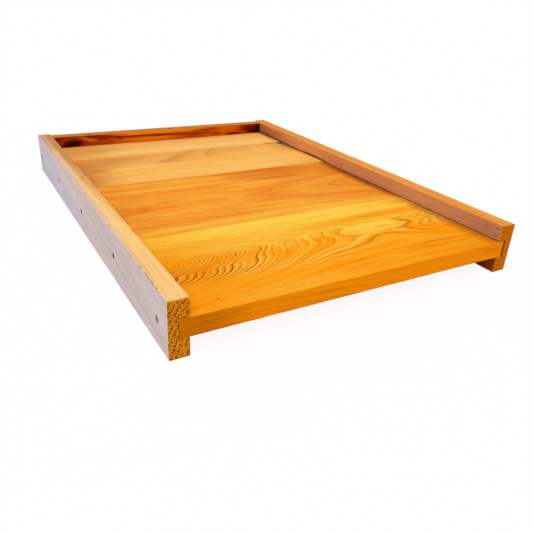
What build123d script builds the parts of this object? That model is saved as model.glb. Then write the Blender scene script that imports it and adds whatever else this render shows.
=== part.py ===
from build123d import *
from math import atan, degrees, tan
import os

# Solid bottom board: the wooden floor that a bee hive stands on.
# Two grooved side rails carry a floor of four planks laid across the hive, joined edge to edge
# with tongues and grooves. A low back rail stands on the rear plank between the side rails, and
# the front is left open as the entrance. Nails hold all of it together.
# Sizes are in millimetres. The origin is under the middle of the board, on the surface that it
# stands on: +X runs to the right, +Y to the back and +Z up, so the entrance faces -Y.

# Side rails
BOARD_WIDTH = 412.75
RAIL_THICKNESS = 19.05
UNDERSIDE_SPACE = 19.05
FLOOR_THICKNESS = 19.05
ENTRANCE_HEIGHT = 19.05
RAIL_ARRIS = 0.6

# Grooves in the rails, and the room that the plank ends have in them
GROOVE_DEPTH = 9.525
GROOVE_PLAY = 0.5
LEFT_END_GAP = 0.4
RIGHT_END_GAP = 2.4

# Floor planks from front to back, each width measured from joint to joint
FRONT_PLANK_WIDTH = 165.0
SECOND_PLANK_WIDTH = 183.2
THIRD_PLANK_WIDTH = 135.3
REAR_PLANK_WIDTH = 94.35
PLANK_GAP = 0.35
PLANK_ARRIS = 0.4

# Tongue along the back edge of a plank, in a groove along the front edge of the next one
TONGUE_THICKNESS = 6.35
TONGUE_LENGTH = 6.0
TONGUE_PLAY = 0.15
TONGUE_END_GAP = 0.6

# Back rail, a little lower than the side rails
BACK_RAIL_THICKNESS = 19.05
BACK_RAIL_DROP = 1.6
BACK_RAIL_END_GAP = 0.25

# Nails through the side rails, each set in from an edge of the plank that it holds
SIDE_NAIL_LENGTH = 50.8
SIDE_NAIL_SHANK = 2.5
SIDE_NAIL_HEAD = 6.2
FRONT_PLANK_FIRST_NAIL = 27.4
FRONT_PLANK_LAST_NAIL = 7.0
SECOND_PLANK_NAIL = 50.5
THIRD_PLANK_NAIL = 50.0
REAR_PLANK_NAIL = 19.4
NAIL_BELOW_MIDDLE = 1.7
NAIL_WANDER = (-1.1, 1.2, 0.2, -0.8, 0.5)

# Nails down through the back rail, in an even row set in from the rail's two ends
BACK_NAIL_LENGTH = 31.75
BACK_NAIL_SHANK = 1.95
BACK_NAIL_HEAD = 5.4
BACK_NAIL_COUNT = 3
BACK_NAIL_LEFT_INSET = 57.5
BACK_NAIL_RIGHT_INSET = 36.5

# Shape of every nail: a flat head, a round shank and a four-sided point
NAIL_HEAD_THICKNESS = 1.1
NAIL_POINT_LENGTHS = 2.0
NAIL_TIP_FLAT = 0.3
NAIL_SUNK = 0.3
NAIL_FACETS = 20

# Sizes that follow from those above
BOARD_LENGTH = FRONT_PLANK_WIDTH + SECOND_PLANK_WIDTH + THIRD_PLANK_WIDTH + REAR_PLANK_WIDTH
RAIL_HEIGHT = UNDERSIDE_SPACE + FLOOR_THICKNESS + ENTRANCE_HEIGHT
FLOOR_TOP = UNDERSIDE_SPACE + FLOOR_THICKNESS
FLOOR_MIDDLE = UNDERSIDE_SPACE + FLOOR_THICKNESS / 2
INNER_WIDTH = BOARD_WIDTH - 2 * RAIL_THICKNESS
PLANK_LEFT = -INNER_WIDTH / 2 - GROOVE_DEPTH + LEFT_END_GAP
PLANK_RIGHT = INNER_WIDTH / 2 + GROOVE_DEPTH - RIGHT_END_GAP
BACK_RAIL_LENGTH = INNER_WIDTH - 2 * BACK_RAIL_END_GAP
BACK_RAIL_HEIGHT = ENTRANCE_HEIGHT - BACK_RAIL_DROP
BACK_RAIL_TOP = FLOOR_TOP + BACK_RAIL_HEIGHT
FRONT_END = -BOARD_LENGTH / 2
BACK_END = BOARD_LENGTH / 2
FIRST_JOINT = FRONT_END + FRONT_PLANK_WIDTH
SECOND_JOINT = FIRST_JOINT + SECOND_PLANK_WIDTH
THIRD_JOINT = SECOND_JOINT + THIRD_PLANK_WIDTH


def side_rail():
    """Left rail: a stick with rounded arrises and a groove along its inner face, cut to length."""
    outer = -BOARD_WIDTH / 2
    inner = -INNER_WIDTH / 2
    corner = Align.MIN, Align.MIN
    stick = Pos(outer, 0) * Rectangle(RAIL_THICKNESS, RAIL_HEIGHT, align=corner)
    stick = fillet(stick.vertices(), RAIL_ARRIS)
    groove_size = GROOVE_DEPTH, FLOOR_THICKNESS + GROOVE_PLAY
    groove = Pos(inner - GROOVE_DEPTH, UNDERSIDE_SPACE) * Rectangle(*groove_size, align=corner)
    return extrude(Plane.XZ * (stick - groove), BOARD_LENGTH / 2, both=True)


def floor_plank(front, back, grooved, tongued):
    """Plank between two joints, with a groove in its front edge and a tongue on its back edge."""
    shoulder = back - PLANK_GAP if tongued else back
    corner = Align.MIN, Align.MIN
    section = Pos(front, UNDERSIDE_SPACE) * Rectangle(shoulder - front, FLOOR_THICKNESS, align=corner)
    section = fillet(section.vertices(), PLANK_ARRIS)
    edge = Align.MIN, Align.CENTER
    if grooved:
        depth = TONGUE_LENGTH - PLANK_GAP + TONGUE_END_GAP
        height = TONGUE_THICKNESS + 2 * TONGUE_PLAY
        section -= Pos(front, FLOOR_MIDDLE) * Rectangle(depth, height, align=edge)
    if tongued:
        section += Pos(shoulder, FLOOR_MIDDLE) * Rectangle(TONGUE_LENGTH, TONGUE_THICKNESS, align=edge)
    return extrude(Plane.YZ.offset(PLANK_LEFT) * section, PLANK_RIGHT - PLANK_LEFT)


def back_rail():
    """Stick that stands on the rear plank, flush with the back and fitted between the side rails."""
    corner = Align.MAX, Align.MIN
    section = Pos(BACK_END, FLOOR_TOP) * Rectangle(BACK_RAIL_THICKNESS, BACK_RAIL_HEIGHT, align=corner)
    section = fillet(section.vertices(), RAIL_ARRIS)
    return extrude(Plane.YZ * section, BACK_RAIL_LENGTH / 2, both=True)


def nail_section(width):
    """Many-sided section that stands for a round one."""
    return RegularPolygon(width / 2, NAIL_FACETS)


def nail(length, shank, head):
    """Nail that points down, with the middle of its head's flat top at the origin."""
    down = 0, 0, -1
    wire = extrude(nail_section(shank), length, dir=down)
    point = NAIL_POINT_LENGTHS * shank
    half_angle = atan((shank - NAIL_TIP_FLAT) / 2 / point)
    base = NAIL_TIP_FLAT + 2 * length * tan(half_angle)
    sharpened = wire & extrude(Rectangle(base, base), length, dir=down, taper=degrees(half_angle))
    return sharpened + extrude(nail_section(head), NAIL_HEAD_THICKNESS, dir=down)


def nail_way(driven, head):
    """Room that a driven nail takes up: the nail, and the dent that its sunk head leaves above it."""
    return driven + extrude(nail_section(head), NAIL_SUNK)


def side_nail_places():
    """Distance along the board and height of each nail in a side rail, from front to back."""
    along = (
        FRONT_END + FRONT_PLANK_FIRST_NAIL,
        FIRST_JOINT - FRONT_PLANK_LAST_NAIL,
        SECOND_JOINT - SECOND_PLANK_NAIL,
        THIRD_JOINT - THIRD_PLANK_NAIL,
        BACK_END - REAR_PLANK_NAIL,
    )
    height = FLOOR_MIDDLE - NAIL_BELOW_MIDDLE
    return [(y, height + wander) for y, wander in zip(along, NAIL_WANDER)]


def nail_seats():
    """Where each nail's head lies and which way it points, by the nail's name."""
    seats = {}
    face = BOARD_WIDTH / 2 - NAIL_SUNK
    for number, (y, z) in enumerate(side_nail_places(), 1):
        seats[f"left_rail_nail_{number}"] = Pos(-face, y, z) * Rot(0, -90, 0)
        seats[f"right_rail_nail_{number}"] = Pos(face, y, z) * Rot(0, 90, 0)
    first = -BACK_RAIL_LENGTH / 2 + BACK_NAIL_LEFT_INSET
    last = BACK_RAIL_LENGTH / 2 - BACK_NAIL_RIGHT_INSET
    spacing = (last - first) / (BACK_NAIL_COUNT - 1)
    middle = BACK_END - BACK_RAIL_THICKNESS / 2
    for number in range(BACK_NAIL_COUNT):
        seat = Pos(first + number * spacing, middle, BACK_RAIL_TOP - NAIL_SUNK)
        seats[f"back_rail_nail_{number + 1}"] = seat
    return seats


def wood():
    """Every wooden piece before the nails go in, by its name."""
    left = side_rail()
    return {
        "left_rail": left,
        "right_rail": mirror(left, Plane.YZ),
        "back_rail": back_rail(),
        "floor_plank_front": floor_plank(FRONT_END, FIRST_JOINT, False, True),
        "floor_plank_second": floor_plank(FIRST_JOINT, SECOND_JOINT, True, True),
        "floor_plank_third": floor_plank(SECOND_JOINT, THIRD_JOINT, True, True),
        "floor_plank_rear": floor_plank(THIRD_JOINT, BACK_END, True, False),
    }


def bottom_board():
    """All pieces of the board, the wood with its nail holes and the nails in them."""
    pieces = wood()
    side = nail(SIDE_NAIL_LENGTH, SIDE_NAIL_SHANK, SIDE_NAIL_HEAD)
    back = nail(BACK_NAIL_LENGTH, BACK_NAIL_SHANK, BACK_NAIL_HEAD)
    nails = {}
    ways = []
    for name, seat in nail_seats().items():
        driven, head = (back, BACK_NAIL_HEAD) if name.startswith("back") else (side, SIDE_NAIL_HEAD)
        nails[name] = seat * driven
        ways.append(seat * nail_way(driven, head))
    drilled = {name: piece - ways for name, piece in pieces.items()}
    return drilled | nails


os.makedirs("parts", exist_ok=True)
for node, shape in bottom_board().items():
    shape.label = node
    export_step(shape, f"parts/{node}.step")
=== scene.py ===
import math
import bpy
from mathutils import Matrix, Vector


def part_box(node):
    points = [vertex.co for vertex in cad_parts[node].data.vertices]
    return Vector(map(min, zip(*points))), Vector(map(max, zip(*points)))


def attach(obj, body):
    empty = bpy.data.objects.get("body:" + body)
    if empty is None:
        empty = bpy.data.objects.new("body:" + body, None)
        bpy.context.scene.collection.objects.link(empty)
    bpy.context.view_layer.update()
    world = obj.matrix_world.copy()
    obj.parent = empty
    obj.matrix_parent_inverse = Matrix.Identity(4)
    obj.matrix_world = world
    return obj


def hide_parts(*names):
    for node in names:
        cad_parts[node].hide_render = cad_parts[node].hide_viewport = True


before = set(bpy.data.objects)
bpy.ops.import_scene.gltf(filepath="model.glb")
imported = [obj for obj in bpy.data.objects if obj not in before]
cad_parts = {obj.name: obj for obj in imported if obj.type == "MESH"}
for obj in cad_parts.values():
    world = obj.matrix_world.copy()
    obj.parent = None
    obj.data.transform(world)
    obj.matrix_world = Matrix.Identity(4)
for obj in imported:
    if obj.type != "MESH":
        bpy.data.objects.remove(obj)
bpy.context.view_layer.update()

from types import SimpleNamespace

import bpy
import numpy as np
from bpy.props import FloatProperty, FloatVectorProperty, PointerProperty
from mathutils import Euler, Matrix, Vector

bl_info = {
    "name": "Solid bottom board",
    "version": (1, 0, 0),
    "blender": (4, 5, 0),
    "location": "3D View > Sidebar > Bottom board",
    "description": "Makes the boards, nails and studio of a hive's solid bottom board around its frame",
    "category": "Object",
}

# The frame is in metres. Shapes and figures are worked out in millimetres and scaled at the end.
MM = 0.001
PLANKS = ("floor_plank_front", "floor_plank_second", "floor_plank_third", "floor_plank_rear")
RAIL_NAILS = 5
BACK_NAILS = 3


def node_box(node):
    """Lowest and highest corner of a piece of the frame, in millimetres."""
    low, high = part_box(node)
    return np.array(low) / MM, np.array(high) / MM


# Sizes and colours that a user would change

def length(label, text, millimetres):
    """Length property whose default is given in millimetres."""
    return FloatProperty(
        name=label, description=text, default=millimetres * MM, min=0.0, unit="LENGTH", precision=5
    )


def linear(channel):
    """Light that an 8-bit channel stands for on the sRGB curve."""
    share = channel / 255
    return share / 12.92 if share <= 0.04045 else ((share + 0.055) / 1.055) ** 2.4


def colour(label, text, red, green, blue):
    """Colour property whose default is given as 8-bit sRGB."""
    light = linear(red), linear(green), linear(blue)
    return FloatVectorProperty(
        name=label, description=text, subtype="COLOR", size=3, min=0.0, max=1.0, default=light
    )


def timber(name, body, pale, dark, stain):
    """PropertyGroup with the colours of one board or face."""
    fields = {
        "body": colour("Body", "Colour of most of the wood", *body),
        "pale": colour("Pale", "Colour of the early wood and the lighter parts", *pale),
        "dark": colour("Dark", "Colour of the late wood and the darker parts", *dark),
        # Colour of knots, stains and open cells, and of painted shade in some patches
        "stain": colour("Stain", "Colour of knots, stains and open cells", *stain),
    }
    class_name = name.title().replace("_", "")
    return type(class_name, (bpy.types.PropertyGroup,), {"__annotations__": fields})


# Body, pale, dark and fourth colour of each board or face. The fourth paints knots, stains and open cells,
# and painted shade in some patches; some faces' tones hold painted light, as marked.
TONES = {
    "front_plank": ((255, 152, 2), (255, 217, 81), (180, 58, 0), (116, 50, 22)),
    "front_edge": ((230, 130, 0), (240, 146, 6), (162, 78, 0), (130, 54, 0)),
    "second_plank": ((247, 146, 35), (255, 188, 66), (206, 92, 0), (112, 46, 26)),
    "third_plank": ((249, 180, 83), (254, 197, 104), (198, 118, 54), (80, 30, 6)),
    "rear_plank": ((249, 182, 94), (255, 203, 118), (210, 134, 62), (120, 60, 20)),
    # Left rail's outer face: its lilac grey is painted cool light from the left on the same wood as its top
    "left_outer": ((213, 196, 192), (224, 209, 206), (112, 88, 80), (204, 198, 220)),
    "left_top": ((254, 204, 126), (255, 220, 150), (190, 118, 58), (211, 185, 180)),
    "left_inner": ((226, 150, 70), (240, 172, 92), (190, 112, 44), (120, 60, 20)),
    "right_top": ((237, 150, 54), (247, 172, 76), (196, 108, 30), (120, 60, 20)),
    # Right rail's inner face: its lilac brown is painted shade and cool light on the same wood as its top
    "right_inner": ((209, 153, 112), (242, 162, 90), (150, 88, 54), (74, 22, 8)),
    "back_inner": ((192, 64, 2), (246, 142, 16), (112, 12, 0), (10, 1, 0)),
    "back_top": ((202, 116, 27), (218, 143, 50), (166, 86, 20), (110, 56, 20)),
    "left_end": ((198, 117, 12), (236, 170, 44), (156, 78, 10), (124, 38, 6)),
    "right_end": ((188, 101, 0), (200, 115, 2), (168, 82, 0), (112, 36, 2)),
    # Rail faces under the floor: their dark brown is painted shade
    "under_floor": ((132, 60, 6), (148, 72, 12), (92, 36, 2), (40, 10, 0)),
    # Inside the grooves: their dark maroon is painted shade of the narrow slots
    "groove": ((132, 44, 12), (146, 54, 16), (104, 30, 8), (60, 14, 2)),
}
TIMBERS = {name: timber(name, *tones) for name, tones in TONES.items()}


class BoardSizes(bpy.types.PropertyGroup):
    """Small sizes of the boards that the frame leaves to the finish."""

    rail_arris: length("Rail arris", "Rounding of the rails' long edges", 0.8)
    plank_arris: length("Plank arris", "Rounding of the planks' long edges", 0.5)
    end_arris: length("End arris", "Rounding where the boards are cut to length", 0.4)
    groove_play: length("Groove play", "Room above the floor in the rails' grooves", 0.5)
    left_end_gap: length("Left end gap", "Room past the planks' left ends in the groove", 0.4)
    right_end_gap: length("Right end gap", "Room past the planks' right ends in the groove", 2.4)
    plank_gap: length("Plank gap", "Open joint between two planks", 0.35)
    tongue_thickness: length("Tongue thickness", "Thickness of the tongues on the planks", 6.35)
    tongue_play: length("Tongue play", "Room above and below a tongue in its groove", 0.15)
    tongue_end_gap: length("Tongue end gap", "Room past a tongue's edge in its groove", 0.6)
    plank_cup: length("Plank cup", "How far the middle of a plank's top lies below its edges", 0.25)
    dent: length("Dent", "Depth of the wood under the edge of a nail's head", 0.45)
    dent_reach: length("Dent reach", "How far a dent runs out past a nail's head", 1.8)


class NailColours(bpy.types.PropertyGroup):
    """Colours of the nails."""

    bright: colour("Bright", "Bare steel of a nail's head", 84, 94, 126)
    dull: colour("Dull", "Weathered steel of a nail's head", 46, 24, 28)
    rust: colour("Rust", "Rust in the hollows of a head", 62, 34, 32)


class StudioSettings(bpy.types.PropertyGroup):
    """Light and floor of the studio."""

    sky: FloatProperty(name="Sky", description="Strength of the even light all round", default=0.55, min=0.0)
    lamp: FloatProperty(name="Lamp", description="Strength of the soft lamp", default=1.71, min=0.0)
    shadow: FloatProperty(
        name="Shadow", description="Share of the floor's look that takes shadows",
        default=0.09, min=0.0, max=1.0, subtype="FACTOR",
    )
    floor: colour("Floor", "Colour of the floor", 253, 253, 253)


def small_sizes():
    """The scene's board sizes, in millimetres."""
    sizes = bpy.context.scene.board_sizes
    return SimpleNamespace(**{name: getattr(sizes, name) / MM for name in BoardSizes.__annotations__})


# Shapes: closed outlines carried along straight paths

# Share of the arris that a corner of an outline takes
ROUND, EASED, SQUARE = 1.0, 0.4, 0.0
# Spacing of points along runs that nobody sees
HIDDEN_SPACING = 9.0
# Rings of an end face, as shares of its cap, and stations of its rounded arris
CAP_RINGS = (1.0, 0.55, 0.25)
ARC_STATIONS = 4
END_STATIONS = len(CAP_RINGS) + ARC_STATIONS - 1
# Stations past an end's arris start this far apart and widen to the board's own spacing
FIRST_STEP = 0.6
LADDER_STEPS = 6
EDGE_WAVES = (53.0, 29.0, 17.0, 9.1, 5.3)
SHARP_ANGLE = math.radians(40)


class Outline:
    """Closed outline of a board's section, as arrays.

    Each point is base + arris * pull: a rounded corner c between runs of directions d and e is the
    quarter circle c + arris * (e (1 - cos a) - d (1 - sin a)) for a from 0 to 90 degrees, and a point
    within a run has no pull. inward points into the wood: the normal of a run, and the sum of both
    runs' normals at a square corner. side is the run that a point starts, and corner its corner.
    """

    ARC_STEPS = 4
    MARGIN = 2.4

    def __init__(self, corners):
        """corners: (place, rounding, spacing, side) each; spacing and side are of the run that follows."""
        places = np.array([corner[0] for corner in corners], dtype=float)
        runs = np.roll(places, -1, axis=0) - places
        spans = np.linalg.norm(runs, axis=1)
        ways = runs / spans[:, None]
        turned = np.cross(places, np.roll(places, -1, axis=0)).sum() > 0
        parts = []
        for number, (_, rounding, spacing, side) in enumerate(corners):
            before, after = ways[number - 1], ways[number]
            last_side = corners[number - 1][3]
            steps = self.ARC_STEPS if rounding else 0
            turn = np.linspace(0, math.pi / 2, steps + 1) if steps else np.array([math.pi / 4])
            angle = turn[:, None]
            pull = rounding * (after * (1 - np.cos(angle)) - before * (1 - np.sin(angle)))
            heading = np.repeat((before + after)[None], len(angle), axis=0)
            base = np.repeat(places[number][None], len(angle), axis=0)
            sides = np.where(np.arange(len(angle)) < steps / 2, last_side, side)
            parts.append((base, pull, heading, sides, np.full(len(angle), number)))
            room = spans[number] - 2 * self.MARGIN
            if room > spacing:
                at = np.linspace(self.MARGIN, spans[number] - self.MARGIN, int(round(room / spacing)) + 1)
                base = places[number] + at[:, None] * after
                heading = np.repeat(after[None], len(at), axis=0)
                sides = np.full(len(at), side)
                parts.append((base, np.zeros_like(base), heading, sides, np.full(len(at), number)))
        self.base, self.pull, heading, self.side, self.corner = map(np.concatenate, zip(*parts))
        sign = 1 if turned else -1
        self.inward = sign * np.stack([-heading[:, 1], heading[:, 0]], axis=1)


def stations(low, high, spacing, end_arris, cap, fine_at=(), fine_reach=6.0, fine_spacing=0.45):
    """Places along a board and how far its outline is drawn in there, from one end face to the other.

    The end faces come in flat rings of depth cap to end_arris, then a quarter circle of radius end_arris
    rounds them into the board's sides. Places lie closer together round each place in fine_at.
    """
    angle = np.linspace(math.pi / 2, 0, ARC_STATIONS)
    along = low + end_arris * (1 - np.sin(angle))
    drawn = end_arris * (1 - np.cos(angle))
    rings = cap * np.array(CAP_RINGS)
    start = np.concatenate([np.full(len(rings), low), along])
    start_in = np.concatenate([rings, drawn])
    first, last = low + end_arris + FIRST_STEP, high - end_arris - FIRST_STEP
    ladder = np.geomspace(FIRST_STEP, spacing, LADDER_STEPS).cumsum()
    body = np.linspace(first + ladder[-1], last - ladder[-1], int((last - first) / spacing))
    body = np.concatenate([first + ladder[:-1], body, last - ladder[-2::-1]])
    for place in fine_at:
        body = body[np.abs(body - place) > fine_reach]
        body = np.concatenate([body, np.arange(place - fine_reach, place + fine_reach, fine_spacing)])
    body = np.sort(body)
    end = low + high - start[::-1]
    body_in = np.zeros(len(body))
    return np.concatenate([start, body, end]), np.concatenate([start_in, body_in, start_in[::-1]])


def unevenness(along, phase, lengths=EDGE_WAVES):
    """How a hand-broken edge varies along a board: sines of unlike wave lengths, about -1 to 1 in all.

    Wave n is shifted by phase * (3.1 + 1.7 n), so that no two edges look alike.
    """
    waves = [np.sin(2 * math.pi * along / size + phase * (3.1 + 1.7 * n)) for n, size in enumerate(lengths)]
    gain = 1.6
    return sum(waves) / len(waves) * gain


def worn_arris(radius, wear, outline, along, phase, stagger):
    """Rounding of each corner of an outline at each station: radius * (1 + wear * unevenness)."""
    corners = range(outline.corner.max() + 1)
    return radius * (1 + wear * np.stack([unevenness(along, phase + stagger * n) for n in corners], 1))


def bump_at(distance, reach):
    """Bell of height 1 that falls off over reach."""
    return np.exp(-((distance / reach) ** 2))


def smooth_step(low, high, value):
    """0 below low and 1 above high, with the curve t t (3 - 2 t) between."""
    share = np.clip((value - low) / (high - low), 0, 1)
    return share * share * (3 - 2 * share)


def carry(outline, along, drawn, arris):
    """Outline carried along a path: base + arris * pull + drawn * inward at every station.

    arris has one row for each station and one column for each corner, and shrinks as the outline is
    drawn in. Gives an array of stations by points by (along, first, second).
    """
    rounding = (arris * np.exp(-drawn[:, None] / arris))[:, outline.corner]
    section = outline.base + rounding[..., None] * outline.pull + drawn[:, None, None] * outline.inward
    path = np.broadcast_to(along[:, None, None], section.shape[:2] + (1,))
    return np.concatenate([path, section], axis=2)


def add_mesh(name, points, loops, counts, finishes, finish_of, node):
    """Piece from arrays of points in millimetres, corner loops and face sizes, in place of a node."""
    mesh = bpy.data.meshes.new(name)
    mesh.vertices.add(len(points))
    mesh.vertices.foreach_set("co", (points * MM).astype(np.float32).ravel())
    mesh.loops.add(len(loops))
    mesh.loops.foreach_set("vertex_index", loops.astype(np.int32))
    mesh.polygons.add(len(counts))
    starts = np.concatenate([[0], np.cumsum(counts)[:-1]])
    mesh.polygons.foreach_set("loop_start", starts.astype(np.int32))
    for finish in finishes:
        mesh.materials.append(finish)
    mesh.polygons.foreach_set("material_index", finish_of.astype(np.int32))
    mesh.polygons.foreach_set("use_smooth", np.ones(len(counts), dtype=bool))
    mesh.update(calc_edges=True)
    mesh.validate()
    mesh.calc_loop_triangles()
    triangles = np.empty(len(mesh.loop_triangles) * 3, dtype=np.int32)
    mesh.loop_triangles.foreach_get("vertices", triangles)
    a, b, c = points[triangles.reshape(-1, 3)].transpose(1, 0, 2)
    if np.einsum("ij,ij->i", a, np.cross(b, c)).sum() < 0:
        mesh.flip_normals()
    mesh.set_sharp_from_angle(angle=SHARP_ANGLE)
    piece = bpy.data.objects.new(name, mesh)
    bpy.context.scene.collection.objects.link(piece)
    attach(piece, "root")
    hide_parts(node)
    return piece


def ring_quads(index):
    """Quads between neighbours in a grid of point numbers whose rows close on themselves."""
    here, there = index[:-1], index[1:]
    return np.stack([here, np.roll(here, -1, 1), np.roll(there, -1, 1), there], axis=2)


def add_stick(name, grid, outline, finishes, end_finish, node):
    """Board from a grid of stations by outline points: quads between neighbours and a face at each end."""
    rows, columns = grid.shape[:2]
    index = np.arange(rows * columns).reshape(rows, columns)
    quads = ring_quads(index)
    sides = np.broadcast_to(outline.side, quads.shape[:2]).copy()
    sides[:END_STATIONS] = end_finish
    sides[rows - 1 - END_STATIONS:] = end_finish
    loops = np.concatenate([quads.ravel(), index[0][::-1], index[-1]])
    counts = np.concatenate([np.full(quads.shape[0] * columns, 4), [columns, columns]])
    finish_of = np.concatenate([sides.ravel(), [end_finish, end_finish]])
    return add_mesh(name, grid.reshape(-1, 3), loops, counts, finishes, finish_of, node)


# Materials

def worked_out(operation, turned=False):
    """Method that adds a Math node for a wire and another value, or for the other value and the wire."""
    def method(self, other):
        values = (other, self) if turned else (self, other)
        return self.graph.math(operation, *values)
    return method


class Wire:
    """Output of a node in a graph. Sums, products and powers of wires add Math nodes."""

    def __init__(self, graph, socket):
        self.graph = graph
        self.socket = socket

    __add__ = __radd__ = worked_out("ADD")
    __sub__ = worked_out("SUBTRACT")
    __rsub__ = worked_out("SUBTRACT", turned=True)
    __mul__ = __rmul__ = worked_out("MULTIPLY")
    __truediv__ = worked_out("DIVIDE")
    __pow__ = worked_out("POWER")

    def size(self):
        """Value without its sign."""
        return self.graph.math("ABSOLUTE", self)

    def least(self, low):
        """Value, or low where that is more."""
        return self.graph.math("MAXIMUM", self, low)

    def step(self, low, high, start=0.0, end=1.0):
        """Smooth step as the value goes from low to high, as a share from start to end."""
        return self.graph.ramp(self, low, high, start, end, "SMOOTHSTEP")


class Graph:
    """Adds nodes to one tree and links them as they are worked out."""

    STEP = 190

    def __init__(self, tree):
        self.tree = tree

    def add(self, kind, inputs=None, **settings):
        """New node with its settings, and with sockets linked or set."""
        node = self.tree.nodes.new(kind)
        node.location = (self.STEP * len(self.tree.nodes), 0)
        for key, value in settings.items():
            setattr(node, key, value)
        for key, value in (inputs or {}).items():
            self.put(node.inputs[key], value)
        return node

    def put(self, socket, value):
        """Links a socket to a wire, or sets its value."""
        if isinstance(value, Wire):
            self.tree.links.new(value.socket, socket)
        elif socket.type == "RGBA":
            socket.default_value = (*value, 1.0)
        else:
            socket.default_value = value

    def wire(self, node, output=0):
        """Wire from a node's output."""
        return Wire(self, node.outputs[output])

    def math(self, operation, *values):
        """Wire from a Math node."""
        return self.wire(self.add("ShaderNodeMath", dict(enumerate(values)), operation=operation))

    def bell(self, value):
        """1 where a value is 0, falling off on both sides as exp(-value value)."""
        return self.math("EXPONENT", value ** 2.0 * -1.0)

    def ramp(self, value, low, high, start=0.0, end=1.0, kind="LINEAR"):
        """Value mapped from low and high to start and end, and held there beyond them."""
        inputs = {"Value": value, "From Min": low, "From Max": high, "To Min": start, "To Max": end}
        return self.wire(self.add("ShaderNodeMapRange", inputs, interpolation_type=kind))

    def vector(self, operation, *values, output="Vector"):
        """Wire from a Vector Math node."""
        node = self.add("ShaderNodeVectorMath", dict(enumerate(values)), operation=operation)
        return self.wire(node, output)

    def split(self, vector):
        """The three parts of a vector."""
        node = self.add("ShaderNodeSeparateXYZ", {0: vector})
        return [self.wire(node, part) for part in range(3)]

    def mix(self, factor, first, second, blend="MIX"):
        """Mix of two colours. A Mix node has its colour sockets behind those for numbers and vectors."""
        node = self.add("ShaderNodeMix", data_type="RGBA", blend_type=blend)
        for socket, value in zip((node.inputs[0], node.inputs[6], node.inputs[7]), (factor, first, second)):
            self.put(socket, value)
        return self.wire(node, 2)

    def noise(self, place, sizes, detail=2.0, roughness=0.5):
        """Noise from 0 to 1 whose features have about these sizes along the three axes."""
        vector = self.vector("DIVIDE", place, sizes)
        inputs = {"Vector": vector, "Scale": 1.0, "Detail": detail, "Roughness": roughness}
        return self.wire(self.add("ShaderNodeTexNoise", inputs), "Fac")

    def group(self, name, **inputs):
        """Outputs of a shared node group, by name. An input's words are joined by underscores."""
        node = self.add("ShaderNodeGroup", node_tree=bpy.data.node_groups[name])
        for key, value in inputs.items():
            self.put(node.inputs[key.replace("_", " ").title()], value)
        return {output.name: Wire(self, output) for output in node.outputs}

    def bump(self, height, strength, millimetres):
        """Normal that follows a height of so many millimetres."""
        inputs = {"Height": height, "Strength": strength, "Distance": millimetres * MM}
        return self.wire(self.add("ShaderNodeBump", inputs))


def new_group(name, inputs, outputs):
    """Empty shader node group: its graph, the wires that come in by name and the sockets that go out."""
    tree = bpy.data.node_groups.new(name, "ShaderNodeTree")
    for label, default in inputs.items():
        kind = "NodeSocketVector" if isinstance(default, tuple) else "NodeSocketFloat"
        tree.interface.new_socket(label, in_out="INPUT", socket_type=kind).default_value = default
    for label in outputs:
        tree.interface.new_socket(label, in_out="OUTPUT", socket_type="NodeSocketFloat")
    graph = Graph(tree)
    given = {socket.name: Wire(graph, socket) for socket in graph.add("NodeGroupInput").outputs}
    return graph, given, graph.add("NodeGroupOutput").inputs


ORIGIN = (0.0, 0.0, 0.0)
# A length beyond the board, for bends and fades that never come in
FAR = 900.0


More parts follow.
